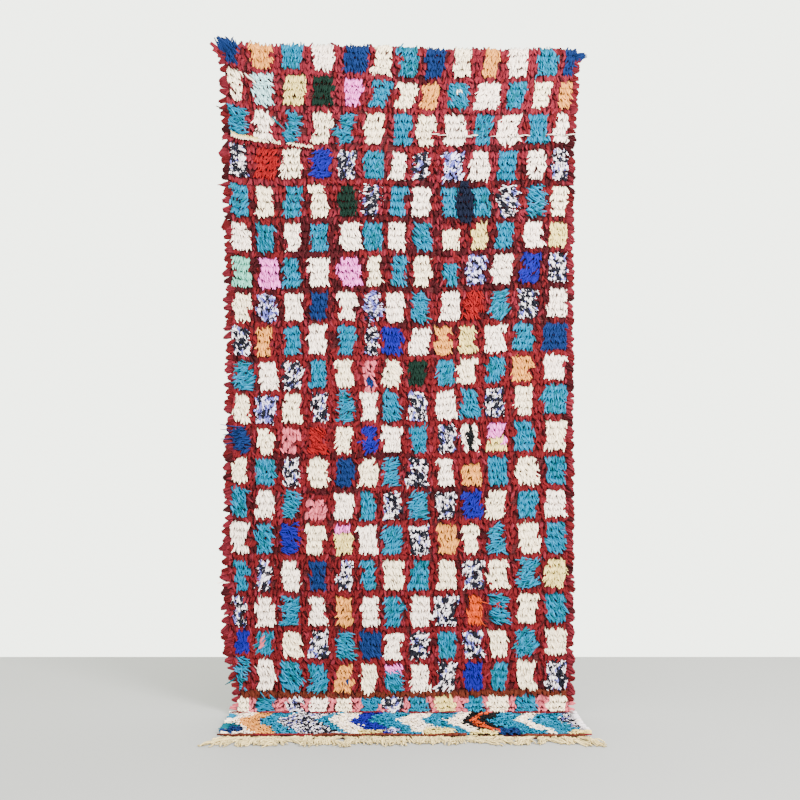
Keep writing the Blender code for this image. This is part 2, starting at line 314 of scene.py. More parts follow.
# Yarns of the fringe, in bundles across the front
FRINGE_LEFT = -0.552
FRINGE_WIDTH = 1.134
YARNS_IN_BUNDLE = 6

# Rag ends along the top edge and in a lock, and where down the cloth the locks begin and where the floor's do
CROWN_ENDS = 300
LOCK_FOLDS = 6
FIRST_LOCK = 0.012
SPLIT_DOWN = DROP + 0.03

# The camera, read from the photo in pixels, with its sensor in millimetres, and the floor in metres
PHOTO_SIZE = 800
FOCAL_PIXELS = 1083
HORIZON_ROW = 435
SENSOR_WIDTH = 36.0
CLOTH_FRONT = BACK_Y - 0.02
FLOOR_REACH = (4.5, 3.4)
FLOOR_BEHIND = 0.94

# Lamps: where each stands, where it points and how wide it is
LAMPS = {
    "key": ((2.3, -2.9, 2.9), (0.0, 0.1, 1.1), 1.4),
    "fill": ((-2.6, -3.0, 1.8), (0.0, 0.1, 1.0), 2.4),
}

SEED = 20


def eased(table, column, at):
    """A table's column at places along its first column, eased from row to row."""
    rows = np.array(table)
    places, values = rows[:, 0], rows[:, column]
    at = np.clip(at, places[0], places[-1])
    low = np.clip(np.searchsorted(places, at, side="right") - 1, 0, len(places) - 2)
    share = (at - places[low]) / (places[low + 1] - places[low])
    share = share * share * (3 - 2 * share)
    return values[low] + (values[low + 1] - values[low]) * share


def width_at(down):
    """Left and right sides of the woven cloth at distances down it."""
    return eased(SIDE_REACH, LEFT, down) + STRIP_AND_LOCK, eased(SIDE_REACH, RIGHT, down) - STRIP_AND_LOCK


def x_at(across, down):
    """Places across the room for shares of the cloth's width."""
    left, right = width_at(down)
    return left + (right - left) * across


def share_at(x, down):
    """Shares of the cloth's width for places across the room."""
    left, right = width_at(down)
    return (x - left) / (right - left)


def grain(*place):
    """Smooth noise between about -1 and 1, the same in each run."""
    return noise.noise(Vector(place))


def sway(across, down):
    """How far the hanging cloth stands back from its plane, with its creases; none at the turn."""
    fade = min(1.0, max(0.0, (DROP - down) / SWAY_ENDS_BEFORE_TURN))
    back = SWAY_DEPTH * grain(across * 1.7, down * 1.3, 4.0)
    for crease_down, depth, half, middle in CREASES:
        wander = CREASE_WANDER * grain(across * 4, crease_down, 7.0)
        near = (down - crease_down + wander) / half
        side = (across - middle) / CREASE_SPREAD
        back += depth * math.exp(-near * near - side * side)
    return back * fade * fade * (3 - 2 * fade)


class Cloth:
    """The form of the whole cloth: it turns places on it into points in the room."""

    def __init__(self):
        self.across = np.arange(SWAY_FROM, SWAY_TO, SWAY_STEP)
        self.down = np.arange(SWAY_FROM, DROP + SWAY_STEP, SWAY_STEP)
        self.grid = np.array([[sway(a, d) for d in self.down] for a in self.across])

    def sway_at(self, across, down):
        """The sway between the points of the grid that holds it."""
        a = np.clip((across - self.across[0]) / SWAY_STEP, 0, len(self.across) - 1.001)
        d = np.clip((down - self.down[0]) / SWAY_STEP, 0, len(self.down) - 1.001)
        i, j = a.astype(int), d.astype(int)
        a, d = a - i, d - j
        near = self.grid[i, j] * (1 - d) + self.grid[i, j + 1] * d
        far = self.grid[i + 1, j] * (1 - d) + self.grid[i + 1, j + 1] * d
        return near * (1 - a) + far * a

    def points(self, across, down, depth):
        """Points for shares of the width, distances down the cloth and depths in front of its back."""
        x = x_at(across, down)
        top = eased(TOP_EDGE, HEIGHT, across)
        y = BACK_Y + self.sway_at(across, down) - depth
        z = TURN_RADIUS + (top - TURN_RADIUS) * (1 - down / DROP)
        turning = down > DROP
        angle = np.clip((down - DROP) / TURN_RADIUS, 0, math.pi / 2)
        radius = np.maximum(TURN_RADIUS - depth, LEAST_RADIUS)
        y = np.where(turning, BACK_Y - TURN_RADIUS + radius * np.cos(angle), y)
        z = np.where(turning, TURN_RADIUS - radius * np.sin(angle), z)
        lying = down > DROP + TURN_LENGTH
        y = np.where(lying, FRONT_Y + CLOTH_LENGTH - down, y)
        z = np.where(lying, depth, z)
        return np.stack([x, y, z], axis=-1)


CLOTH = Cloth()

# How painted shadow deepens on a rag towards its root, and the fine knit of its cloth, finer across than
# along
ROOT_SHADOW_CURVE = 2.2
KNIT_SCALE = 900.0
KNIT_STRETCH = (1.0, 1.0, 0.45)


class Finish:
    """Builds a material's nodes; what it hands out can be used in Python sums."""

    def __init__(self, name):
        self.material = bpy.data.materials.new(name)
        self.material.use_nodes = True
        self.nodes = self.material.node_tree.nodes
        self.links = self.material.node_tree.links
        self.shader = self.nodes["Principled BSDF"]

    def add(self, kind, settings=None, inputs=None, output=0):
        """Adds a node: its settings first, then the values or links of its sockets."""
        node = self.nodes.new(kind)
        for key, value in (settings or {}).items():
            setattr(node, key, value)
        for key, value in (inputs or {}).items():
            self.put(node.inputs[key], value)
        return Shade(self, node.outputs[output])

    def put(self, socket, value):
        """Links a shade to a socket, or sets a plain value there."""
        if isinstance(value, Shade):
            self.links.new(value.socket, socket)
        else:
            socket.default_value = value

    def colour(self, rgb):
        """A plain colour to do sums with."""
        node = self.nodes.new("ShaderNodeRGB")
        node.outputs[0].default_value = (*rgb, 1.0)
        return Shade(self, node.outputs[0])

    def dyes(self, names):
        """The colour of one dye, or of several told apart by the piece's dye attribute."""
        if len(names) == 1:
            return self.colour(DYES[names[0]])
        node = self.nodes.new("ShaderNodeValToRGB")
        node.color_ramp.interpolation = "CONSTANT"
        elements = node.color_ramp.elements
        while len(elements) < len(names):
            elements.new(0.5)
        for number, name in enumerate(names):
            elements[number].position = number / len(names)
            elements[number].color = (*DYES[name], 1.0)
        self.put(node.inputs["Fac"], self.attribute("dye"))
        return Shade(self, node.outputs["Color"])

    def dimmed(self, colour, by):
        """A colour times a number."""
        return self.add("ShaderNodeVectorMath", {"operation": "SCALE"}, {0: colour, "Scale": by})

    def attribute(self, name):
        return self.add("ShaderNodeAttribute", {"attribute_name": name}, output="Fac")

    def mix(self, factor, first, second):
        return self.add("ShaderNodeMix", {"data_type": "RGBA"}, {0: factor, 6: first, 7: second}, output=2)

    def noise(self, scale, detail=2.0, stretch=(1.0, 1.0, 1.0)):
        """Noise on the piece's own coordinates, in metres."""
        place = self.add("ShaderNodeTexCoord", output="Object")
        place = self.add("ShaderNodeMapping", inputs={"Vector": place, "Scale": stretch})
        values = {"Vector": place, "Scale": scale, "Detail": detail}
        return self.add("ShaderNodeTexNoise", inputs=values, output="Fac")

    def wave(self, direction, place, scale, distortion, **more):
        """Bands of threads across a direction."""
        settings = {"wave_type": "BANDS", "bands_direction": direction}
        values = {"Vector": place, "Scale": scale, "Distortion": distortion, **more}
        return self.add("ShaderNodeTexWave", settings, values, output="Fac")

    def bump(self, height, distance):
        return self.add("ShaderNodeBump", inputs={"Height": height, "Distance": distance})

    def surface(self, colour, roughness, normal=None):
        self.put(self.shader.inputs["Base Color"], colour)
        self.put(self.shader.inputs["Roughness"], roughness)
        self.shader.inputs["Specular IOR Level"].default_value = 0.08
        if normal is not None:
            self.put(self.shader.inputs["Normal"], normal)
        return self.material

    def painted_root_shadow(self, root_shadow_depth):
        """Painted shadow: darkens each rag end towards its root, where the rags overlap."""
        return 1.0 - (1.0 - self.attribute("along")) ** ROOT_SHADOW_CURVE * root_shadow_depth

    def knitted(self, colour, tone):
        """Ends a rag's material: its colour times its tone, with a fine knit."""
        knit = self.noise(KNIT_SCALE, 1.0, KNIT_STRETCH)
        return self.surface(self.dimmed(colour, tone), 0.90 + knit * 0.08, self.bump(knit, 0.0006))


def maths(operation):
    """A Python operator that adds a Math node, and its reflected form."""

    def plain(self, other):
        return self.finish.add("ShaderNodeMath", {"operation": operation}, {0: self, 1: other})

    def reflected(self, other):
        return self.finish.add("ShaderNodeMath", {"operation": operation}, {0: other, 1: self})

    return plain, reflected


class Shade:
    """A socket in a material; sums on it add Math nodes."""

    def __init__(self, finish, socket):
        self.finish = finish
        self.socket = socket

    __add__, __radd__ = maths("ADD")
    __sub__, __rsub__ = maths("SUBTRACT")
    __mul__, __rmul__ = maths("MULTIPLY")
    __pow__, __rpow__ = maths("POWER")
    __gt__ = maths("GREATER_THAN")[0]
    __lt__ = maths("LESS_THAN")[0]


def opaque(colour, by=1.0):
    """A linear colour made brighter or darker, with its full opacity."""
    return (*(min(1.0, c * by) for c in colour), 1.0)


def rag_finish(family, names, painted_shadow=1.0):
    """Torn cotton or wool: painted shadow towards each end's root, each rag its own tone, with a fine knit;
    the third argument dims the whole copy as painted shadow.
    """
    finish = Finish(family + "_rag")
    pale = family in ("natural", "ivory")
    darkest, spread, mottle, root_shadow_depth = (0.76, 0.28, 0.14, 0.74) if pale else (0.66, 0.38, 0.22, 0.76)
    # Each rag's random tone, times the painted shadow towards its root
    tone = (darkest + finish.attribute("tint") * spread) * finish.painted_root_shadow(root_shadow_depth)
    # Random mottle, and all of it dimmed where a darker, shadowed copy is asked for
    tone = tone * (painted_shadow - finish.noise(110.0, 2.0) * mottle * painted_shadow)
    return finish.knitted(finish.dyes(names), tone)


def print_finish(names):
    """Printed jersey: pale rags with black and lilac patches of their own."""
    finish = Finish("printed_rag")
    tint = finish.attribute("tint")
    bluish = finish.attribute("dye") < 0.5
    blots = finish.noise(70.0, 1.0) + (tint - 0.5) * 0.26
    washes = finish.noise(60.0, 0.0, (1.3, 1.0, 0.8)) - (tint - 0.5) * 0.16
    colour = finish.mix(washes > 0.65 - bluish * 0.14, finish.dyes(names), opaque(PRINT_LILAC))
    colour = finish.mix(blots > 0.487 + bluish * 0.07, colour, opaque(PRINT_DARK))
    # Pale printed ends, with painted shadow towards their roots
    return finish.knitted(colour, (0.78 + tint * 0.22) * finish.painted_root_shadow(0.5))


def ground_finish():
    """Close weave: weft ribs across the warp, on the sheet's own map in metres."""
    finish = Finish("woven_ground")
    place = finish.add("ShaderNodeUVMap", {"uv_map": "cloth"})
    ribs = finish.wave("Y", place, 55.0, 1.2, **{"Detail": 1.0, "Detail Scale": 3.0})
    ends = finish.wave("X", place, 62.0, 0.6)
    weave = ribs * 0.7 + ends * 0.3
    # One red, darker in the weave's hollows and lighter on its raised ribs: painted shadow that follows the
    # bump
    colour = finish.mix(weave, opaque(GROUND_COLOUR, 0.35), opaque(GROUND_COLOUR, 1.1))
    return finish.surface(colour, 0.92, finish.bump(weave, 0.0012))


def warp_finish():
    """Ecru cotton twisted from several plies."""
    finish = Finish("cotton_warp")
    plies = finish.wave("DIAGONAL", finish.add("ShaderNodeTexCoord", output="Object"), 160.0, 0.8)
    # Darker blotches towards the tips of the yarns
    tip_blotches = finish.noise(30.0, 2.0) * finish.attribute("along")
    tone = (0.52 + finish.attribute("tint") * 0.60) * (1.0 - plies * 0.30) * (1.0 - tip_blotches * 0.25)
    return finish.surface(finish.dimmed(finish.colour(WARP_COLOUR), tone), 0.9, finish.bump(plies, 0.0008))


def floor_finish():
    """Plain pale floor with hardly seen clouds."""
    finish = Finish("studio_floor")
    cloud = finish.noise(0.8, 3.0)
    colour = finish.mix(cloud, opaque(FLOOR_COLOUR, 0.95), opaque(FLOOR_COLOUR, 1.05))
    return finish.surface(colour, 0.55 + cloud * 0.1)


def taken(bm):
    """The points and faces of a bmesh, which is freed."""
    bm.verts.index_update()
    shape = np.array([v.co for v in bm.verts])
    faces = [[v.index for v in face.verts] for face in bm.faces]
    bm.free()
    return shape, faces


def prism(sides, cuts):
    """A closed strip with a few sides: shares across, thick and along it, and its faces."""
    bm = bmesh.new()
    bmesh.ops.create_cone(bm, cap_ends=True, segments=sides, radius1=0.5, radius2=0.5, depth=1.0)
    lengthwise = [e for e in bm.edges if abs(e.verts[0].co.z - e.verts[1].co.z) > 0.5]
    bmesh.ops.subdivide_edges(bm, edges=lengthwise, cuts=cuts)
    bmesh.ops.recalc_face_normals(bm, faces=bm.faces)
    shape, faces = taken(bm)
    for axis in (0, 1):
        low, high = shape[:, axis].min(), shape[:, axis].max()
        shape[:, axis] = (shape[:, axis] - low) / (high - low)
    shape[:, 0] -= 0.5
    shape[:, 2] += 0.5
    return shape, faces


def knot_block():
    """The back of one knot: a small block that narrows away from the cloth."""
    bm = bmesh.new()
    bmesh.ops.create_cube(bm, size=1.0)
    shape, faces = taken(bm)
    outer = shape[:, 1] > 0
    shape[outer, 0] *= 0.62
    shape[outer, 2] *= 0.55
    return shape, faces


RAG_SHAPE = prism(sides=3, cuts=2)
YARN_SHAPE = prism(sides=5, cuts=9)
BLOCK_SHAPE = knot_block()

# A rag end's width, by the share of its length
WIDTH_ALONG = ([0.0, 0.3, 0.7, 1.0], [0.62, 0.95, 1.0, 0.50])


def joined(shape_faces, count, offset=0):
    """Faces of many copies of one shape, numbered on from an offset."""
    shape, faces = shape_faces
    starts = [offset + copy * len(shape) for copy in range(count)]
    return [[start + corner for corner in face] for start in starts for face in faces]


def above_floor(points):
    """Points, with those that would sink into the floor lifted to just over it."""
    points[..., 2] = np.maximum(points[..., 2], FLOOR_CLEARANCE)
    return points


def strips(ends):
    """Points of many rag ends, each with a middle on the cloth, a lean from straight down and a rise."""
    shape, _ = RAG_SHAPE
    u, w, v = shape[:, 0][None], shape[:, 1][None], shape[:, 2][None]
    e = {key: np.asarray(value)[:, None] for key, value in ends.items()}
    reach = e["length"] * (v - 0.5)
    lateral = np.sin(e["lean"]) * reach + e["bend"] * (4 * (v - 0.5) ** 2 - 0.5)
    drop = np.cos(e["lean"]) * reach
    rise = 1 - (1 - v) ** 2.5
    depth = e["root"] + (e["crest"] - e["root"]) * rise + (e["tip"] - e["crest"]) * v**2
    roll = e["roll"] + e["twist"] * (v - 0.5)
    flat = u * e["width"] * np.interp(v, *WIDTH_ALONG)
    thick = w * e["thick"]
    beside = flat * np.cos(roll) - thick * np.sin(roll)
    above = flat * np.sin(roll) + thick * np.cos(roll)
    across = share_at(e["x"] + lateral + beside * np.cos(e["lean"]), e["down"])
    down = e["down"] + drop - beside * np.sin(e["lean"])
    return above_floor(CLOTH.points(across, down, depth + above)).reshape(-1, 3)


def added(name, data):
    """A new object in the scene for a mesh, a lamp or a camera."""
    holder = bpy.data.objects.new(name, data)
    bpy.context.scene.collection.objects.link(holder)
    return holder


def make_piece(name, points, faces, material, values):
    """One joined mesh with its attributes, as a piece that rides on the rug."""
    mesh = bpy.data.meshes.new(name)
    mesh.from_pydata(points.tolist(), [], faces)
    for key, numbers in values.items():
        made = mesh.attributes.new(key, "FLOAT", "POINT")
        made.data.foreach_set("value", np.asarray(numbers, np.float32))
    mesh.materials.append(material)
    mesh.update()
    piece = added(name, mesh)
    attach(piece, "root")
    return piece


def mesh_of(bm, name, material):
    """A bmesh as a mesh with one material; the bmesh is freed."""
    mesh = bpy.data.meshes.new(name)
    bm.to_mesh(mesh)
    bm.free()
    mesh.materials.append(material)
    return mesh


def dye_numbers(rags, names):
    """The dye attribute: which of a material's dyes each rag has."""
    return [(names.index(rag) + 0.5) / len(names) for rag in rags]


def cell_rag(band, column):
    """The rag of a cell: a scrap, or cream and turquoise in turn."""
    for rag, cells in SCRAPS.items():
        if (band + 1, column + 1) in cells:
            return rag
    start, *swaps = TURNS[band]
    swapped = sum(column + 1 >= swap for swap in swaps) % 2
    odd = (column + 1) % 2
    return "turquoise" if (odd == (start == "odd")) != bool(swapped) else "cream"


def middles_at(down):
    """Middles of the columns across the room at a distance down the cloth."""
    table = np.array(COLUMNS)
    return np.array([np.interp(down, table[:, 0], table[:, 1 + c]) for c in range(table.shape[1] - 1)])


def reds(row, band, place, x, rng):
    """The red of each rag between the cells: stretches of a row share one, with some others mixed in."""
    spots = np.linspace(-0.62, 0.62, 63)
    stretch = np.interp(x, spots, [grain(s * 3.1, row * 1.7, 31.0) for s in spots])
    other = np.interp(x, spots, [grain(s * 5.3, row * 0.37, 35.0) for s in spots])
    chance = rng.random(len(x))
    dark_from = BURGUNDY_FROM.get(band, BURGUNDY_ELSEWHERE)
    # Burgundy rags along some creases in the red rows are painted shadow where the cloth bends
    crease_shadow = (place == 0) & ((band == 1) & (x > 0.0) & (x < 0.14) | (band in (3, 4)) & (x > 0.20))
    dark = ((stretch > dark_from) & (chance < 0.65)) | (crease_shadow & (chance < 0.5)) | (chance > 0.955)
    bright = np.clip(0.95 - band * 0.12 + other * 0.8, 0.16, 0.92)
    bright = np.where(np.abs(x) > 0.545, np.maximum(bright, 0.7 if band < 12 else 0.45), bright)
    tones = np.where(rng.random(len(x)) < bright, "raspberry", "brick")
    return np.where(dark, "burgundy", tones)


def floor_rags(x, forward, rng):
    """The rags of the floor's band, by how far right of a chevron's slanting arm they lie."""
    wander = np.array([grain(a * 11, f * 17, 41.0) for a, f in zip(x, forward)])
    along = x - CHEVRON_SLOPE * np.abs(forward - CHEVRON_TIP) + CHEVRON_WANDER * wander
    along = along + rng.normal(0, 0.0035, len(x))
    tips = [tip for tip, _ in CHEVRONS]
    names = np.array([rag for _, rag in CHEVRONS])
    rags = names[np.searchsorted(tips, along, side="right") - 1]
    mixed = rng.random(len(x))
    rags = np.where((rags == "turquoise") & (mixed < 0.3), "sky", rags)
    rags = np.where((rags == "turquoise") & (mixed > 0.8), "teal", rags)
    return np.where((rags == "cream") & (mixed < 0.35), "ivory", rags)


def patched(rags, x, down, rng):
    """The rags, with those of the patches in their places."""
    for rag, patch_x, patch_down, half_width, half_height in PATCHES:
        near = ((x - patch_x) / half_width) ** 2 + ((down - patch_down) / half_height) ** 2
        rags = np.where(near < rng.uniform(0.75, 1.25, len(x)), rag, rags)
    return rags


class Pattern:
    """Which rag is knotted where, and how its ends lie."""

    def __init__(self):
        rng = np.random.default_rng(SEED)
        shape = (FLOOR_BAND, len(COLUMNS[0]) - 1)
        lays = rng.choice([0.0, 0.55, -0.55, 1.15, -1.15], shape, p=[0.52, 0.16, 0.16, 0.08, 0.08])
        tumbled = lays + rng.normal(0.0, 0.16, shape)
        tidy = rng.normal(0.0, 0.13, shape)
        self.shift = rng.normal(0.0, 0.0025, shape)
        self.grow = rng.normal(0.0, 0.0022, shape)
        self.ivory = rng.random(shape)
        self.teal = rng.uniform(0.05, 0.62, shape)
        self.short = np.zeros(shape, bool)
        for band, column in SHORT_CELLS:
            self.short[band - 1, column - 1] = True
        for (band, column), (aside, wider) in OUT_OF_LINE.items():
            self.shift[band - 1, column - 1] += aside
            self.grow[band - 1, column - 1] += wider
        cells = [[cell_rag(band, column) for column in range(shape[1])] for band in range(shape[0])]
        self.rags = np.array(cells)
        self.grow[np.isin(self.rags, ("navy", "royal", "black_print", "lilac_print"))] += 0.0018
        rough = np.isin(self.rags, ("turquoise", "scarlet", "lilac_print", "black_print", "royal"))
        self.lean = np.where(rough, tumbled, tidy)
        for (band, column), lay in LAYS.items():
            self.lean[band - 1, column - 1] = lay

    def at(self, row, band, place, x, down, rng):
        """Rag and lean at places in one row of knots."""
        count = len(x)
        if band == FLOOR_BAND:
            rags = floor_rags(x, down - FLOOR_START, rng)
            lean = np.where(down - FLOOR_START > CHEVRON_TIP, 0.3, -0.3)
        else:
            middles = middles_at(float(np.mean(down)))
            spacing = np.gradient(middles)
            column = np.argmin(np.abs(x[:, None] - middles[None]), axis=1)
            shift = self.shift[band] + rng.normal(0.0, ROW_JITTER, len(middles))
            half = CELL_SHARE * spacing + self.grow[band] + rng.normal(0.0, ROW_JITTER, len(middles))
            half = half - 0.0035 * np.abs(np.sin(self.lean[band]))
            inside = np.abs(x - (middles + shift)[column]) < half[column]
            inside &= (place > 0) & ~(self.short[band] & (place == 1))[column]
            rags = reds(row, band, place, x, rng)
            if band == NARROW_BAND:
                rags = np.full(count, "russet" if place == 0 else "coral")
            rags = np.where(inside, self.rags[band][column], rags)
            lean = np.where(inside, self.lean[band][column], 0.0)
            rags = np.where((rags == "cream") & (self.ivory[band][column] > 0.58), "ivory", rags)
            teal = rng.random(count) < self.teal[band][column]
            others = rng.choice(["teal", "sky"], count, p=[0.62, 0.38])
            rags = np.where((rags == "turquoise") & teal, others, rags)
        return patched(rags, x, down, rng), lean


def knot_rows():
    """Each row of knots: its band, its place there with 0 for the red row, and that place as a share."""
    places = range(ROWS_IN_BAND)
    wide = [(band, place, place / ROWS_IN_BAND) for band in range(NARROW_BAND) for place in places]
    narrow = [(NARROW_BAND, place, place / NARROW_ROWS) for place in range(NARROW_ROWS)]
    floor = [(FLOOR_BAND, place, (place + 0.3) / FLOOR_ROWS) for place in range(FLOOR_ROWS)]
    return wide[1:] + narrow + floor


def row_down(band, share, across):
    """Distance down the cloth of a row of knots, at places across it."""
    top = np.interp(across, ROW_PLACES, RED_ROWS[band])
    bottom = np.interp(across, ROW_PLACES, RED_ROWS[band + 1])
    return top + (bottom - top) * share


def lay_out(pitch, rng, thin_ground=False):
    """Places, leans, rags and bands of all that is knotted in the rows, one for each pitch across."""
    pattern = Pattern()
    found = []
    count = round(MEAN_WIDTH / pitch)
    for row, (band, place, share) in enumerate(knot_rows()):
        across = (np.arange(count) + rng.uniform(0.15, 0.85, count)) / count
        down = row_down(band, share, across)
        x = x_at(across, down)
        rags, lean = pattern.at(row, band, place, x, down, rng)
        keep = np.ones(count, bool)
        if thin_ground:
            thinned = (np.arange(count) + rng.integers(0, 5)) % 5 < 2
            keep = ~np.isin(rags, GROUND_DYES) | np.where(rng.random(count) < 0.25, ~thinned, thinned)
        found.append([part[keep] for part in (x, down, lean, rags)] + [np.full(int(keep.sum()), band)])
    return [np.concatenate(parts) for parts in zip(*found)]


def pile_ends(sizes):
    """All the loose rag ends of the pile in front, with their rags."""
    rng = np.random.default_rng(SEED + 1)
    x, down, lean, rags, band = lay_out(sizes.end_pitch, rng, thin_ground=True)
    n = len(x)
    ground = np.isin(rags, GROUND_DYES)
    floor = band == FLOOR_BAND
    width = np.where(ground, sizes.ground_width, sizes.cell_width)
    aside = np.abs(np.sin(lean))
    length = np.where(floor, sizes.floor_rag_length, sizes.rag_length) * rng.uniform(0.80, 1.16, n)
    length = length * (1 + 0.15 * np.where(floor, 0, aside))
    stray = np.where(floor, 0.26, np.where(ground, 0.40, 0.30 + 0.22 * aside))
    deep = np.where(ground, 0.80, 0.96) * sizes.pile_depth
    ends = {
        "x": x,
        "down": down + rng.normal(0, 0.0036, n) + rng.uniform(-0.012, 0.012, n) * aside - 0.003,
        "lean": lean + rng.normal(0, 1, n) * stray,
        "bend": rng.normal(0, 0.0028, n),
        "length": length,
        "width": width * rng.uniform(0.72, 1.22, n),
        "thick": width * rng.uniform(0.26, 0.46, n),
        "root": np.full(n, ROOT_HEIGHT),
        "crest": deep * rng.uniform(0.74, 1.0, n),
        "tip": deep * rng.uniform(0.50, 0.94, n),
        "roll": rng.normal(0, 0.45, n),
        "twist": rng.normal(0, 0.7, n),
    }
    return ends, rags


def crown_ends(sizes):
    """Short rag ends that stand up along the top edge, and the long ones at its corners."""
    rng = np.random.default_rng(SEED + 2)
    pattern = Pattern()
    n = CROWN_ENDS
    left, right = width_at(np.zeros(n))
    x = left + (right - left) * (np.arange(n) + rng.uniform(0.1, 0.9, n)) / n
    rags, _ = pattern.at(0, 0, 1, x, np.full(n, 0.005), rng)
    crown = {
        "x": x,
        "down": rng.uniform(0.002, 0.007, n),
        "lean": math.pi + rng.normal(0, 0.55, n),
        "length": rng.uniform(0.014, 0.022, n),
        "width": sizes.cell_width * rng.uniform(0.9, 1.5, n),
        "crest": rng.uniform(0.006, 0.014, n),
        "tip": rng.uniform(0.001, 0.010, n),
    }
    dyes = np.repeat([ear[0] for ear in EARS], [ear[1] for ear in EARS])
    rows = np.repeat(np.array([ear[2:] for ear in EARS]), [ear[1] for ear in EARS], axis=0).T
    m = len(dyes)
    share = rng.uniform(0, 1, m)
    tip = rows[0:2] + rng.normal(0, 0.0032, (2, m))
    root = rows[2:4] + (rows[4:6] - rows[2:4]) * share + rng.normal(0, 0.0020, (2, m))
    step = tip - root
    ear = {
        "x": (tip[0] + root[0]) / 2,
        "down": (tip[1] + root[1]) / 2,
        "lean": np.arctan2(step[0], step[1]),
        "length": np.hypot(step[0], step[1]),
        "width": rng.uniform(0.0050, 0.0080, m),
        "crest": rng.uniform(0.018, 0.025, m),
        "tip": rng.uniform(0.012, 0.022, m),
    }
    ends = {key: np.concatenate([crown[key], ear[key]]) for key in crown}
    return finish_ends(ends, rng), np.concatenate([rags, dyes])


def strand_ends():
    """Loose strands over the pile and the thin red lines at the turn and the front, in short lengths."""
    rng = np.random.default_rng(SEED + 3)
    runs = [(*strand, STRAND_HEIGHT) for strand in STRANDS]
    spots = np.linspace(-0.556, 0.575, 57)
    for dye, other, down, wander, wide, high, gap_from, gap in RED_LINES:
        line = [down + wander * grain(s * 7.0, down, 61.0) for s in spots]
        for spot, to_spot, start, end in zip(spots, spots[1:], line, line[1:]):
            if spot > gap_from and grain(spot * 11.0, down, 67.0) > gap:
                continue
            name = dye if grain(spot * 4.0, 1.0, 66.0) > -0.2 else other
            width = wide * (1 + 0.8 * grain(spot * 9.0, 5.0, 63.0))
            lift = high + 0.007 * grain(spot * 8.0, 5.0, 64.0)
            runs.append((name, spot, start, to_spot, end, width, lift))
            runs.append((name, spot + 0.01, start + 0.003, to_spot + 0.01, end + 0.001, width, lift))
    pieces = []
    for dye, x, down, to_x, to_down, width, high in runs:
        tufted = dye in ("straw", "ivory")
        span = math.hypot(to_x - x, to_down - down)
        count = max(1, round(span / (TUFT_STEP if tufted else STRAND_STEP)))
        for number in range(count):
            middle = (number + 0.5) / count
            long = TUFT_LENGTH if tufted else span / count * 1.35
            lean = rng.normal(0, 0.7) if tufted else math.atan2(to_x - x, to_down - down)
            place = (x + (to_x - x) * middle, down + (to_down - down) * middle)
            pieces.append((dye, *place, lean, long, width, high))
    dyes, *numbers = zip(*pieces)
    x, down, lean, long, width, high = (np.array(part) for part in numbers)
    ends = {
        "x": x,
        "down": down + rng.normal(0, 0.0010, len(x)),
        "lean": lean + rng.normal(0, 0.08, len(x)),
        "length": long,
        "width": width,
        "crest": high,
        "tip": high * 0.9,
    }
    ends = finish_ends(ends, rng)
    ends["root"] = high * 0.85
    return ends, np.array(dyes)


def finish_ends(ends, rng):
    """Adds what is alike for all ends that stand apart from the pile."""
    n = len(ends["x"])
    return {
        **ends,
        "bend": rng.normal(0, 0.0015, n),
        "thick": ends["width"] * rng.uniform(0.4, 0.6, n),
        "root": np.full(n, ROOT_HEIGHT),
        "roll": rng.normal(0, 0.35, n),
        "twist": rng.normal(0, 0.4, n),
    }


def back_blocks(sizes):
    """Points of the knots' backs, which show in rows behind the cloth, with their rags."""
    rng = np.random.default_rng(SEED + 4)
    shape, _ = BLOCK_SHAPE
    x, down, _, rags, _ = lay_out(sizes.knot_pitch, rng)
    n = len(x)
    wide = sizes.knot_pitch * rng.uniform(0.74, 0.94, n)[:, None]
    tall = KNOT_HEIGHT * rng.uniform(0.8, 1.15, n)[:, None]
    across = share_at(x[:, None] + shape[:, 0][None] * wide, down[:, None])
    deep = GROUND_BACK - (shape[:, 1][None] + 0.5) * KNOT_BACK
    return above_floor(CLOTH.points(across, down[:, None] - shape[:, 2][None] * tall, deep)), rags


def knot_pieces(families):
    """One piece for each family of rags: its loose ends in front and its knots' backs behind."""
    sizes = bpy.context.scene.rug_sizes
    sources = [pile_ends(sizes), crown_ends(sizes), strand_ends()]
    ends = {key: np.concatenate([found[key] for found, _ in sources]) for key in sources[0][0]}
    rags = np.concatenate([found for _, found in sources])
    blocks, block_rags = back_blocks(sizes)
    for family in families:
        names = FAMILIES[family]
        rng = np.random.default_rng(SEED + 10 + list(FAMILIES).index(family))
        chosen = np.isin(rags, names)
        front = strips({key: value[chosen] for key, value in ends.items()})
        behind = np.isin(block_rags, names)
        back = blocks[behind].reshape(-1, 3)
        end_count, block_count = int(chosen.sum()), int(behind.sum())
        corners, block_corners = len(RAG_SHAPE[0]), len(BLOCK_SHAPE[0])
        faces = joined(RAG_SHAPE, end_count) + joined(BLOCK_SHAPE, block_count, len(front))
        dye = dye_numbers(np.concatenate([rags[chosen], block_rags[behind]]), names)
        repeats = np.concatenate([np.full(end_count, corners), np.full(block_count, block_corners)])
        values = {
            "tint": np.repeat(rng.random(end_count + block_count), repeats),
            "dye": np.repeat(dye, repeats),
            "along": np.concatenate([np.tile(RAG_SHAPE[0][:, 2], end_count), np.full(len(back), 0.8)]),
        }
        finish = print_finish(names) if family == "prints" else rag_finish(family, names)
        piece = make_piece(f"rags_{family}", np.concatenate([front, back]), faces, finish, values)


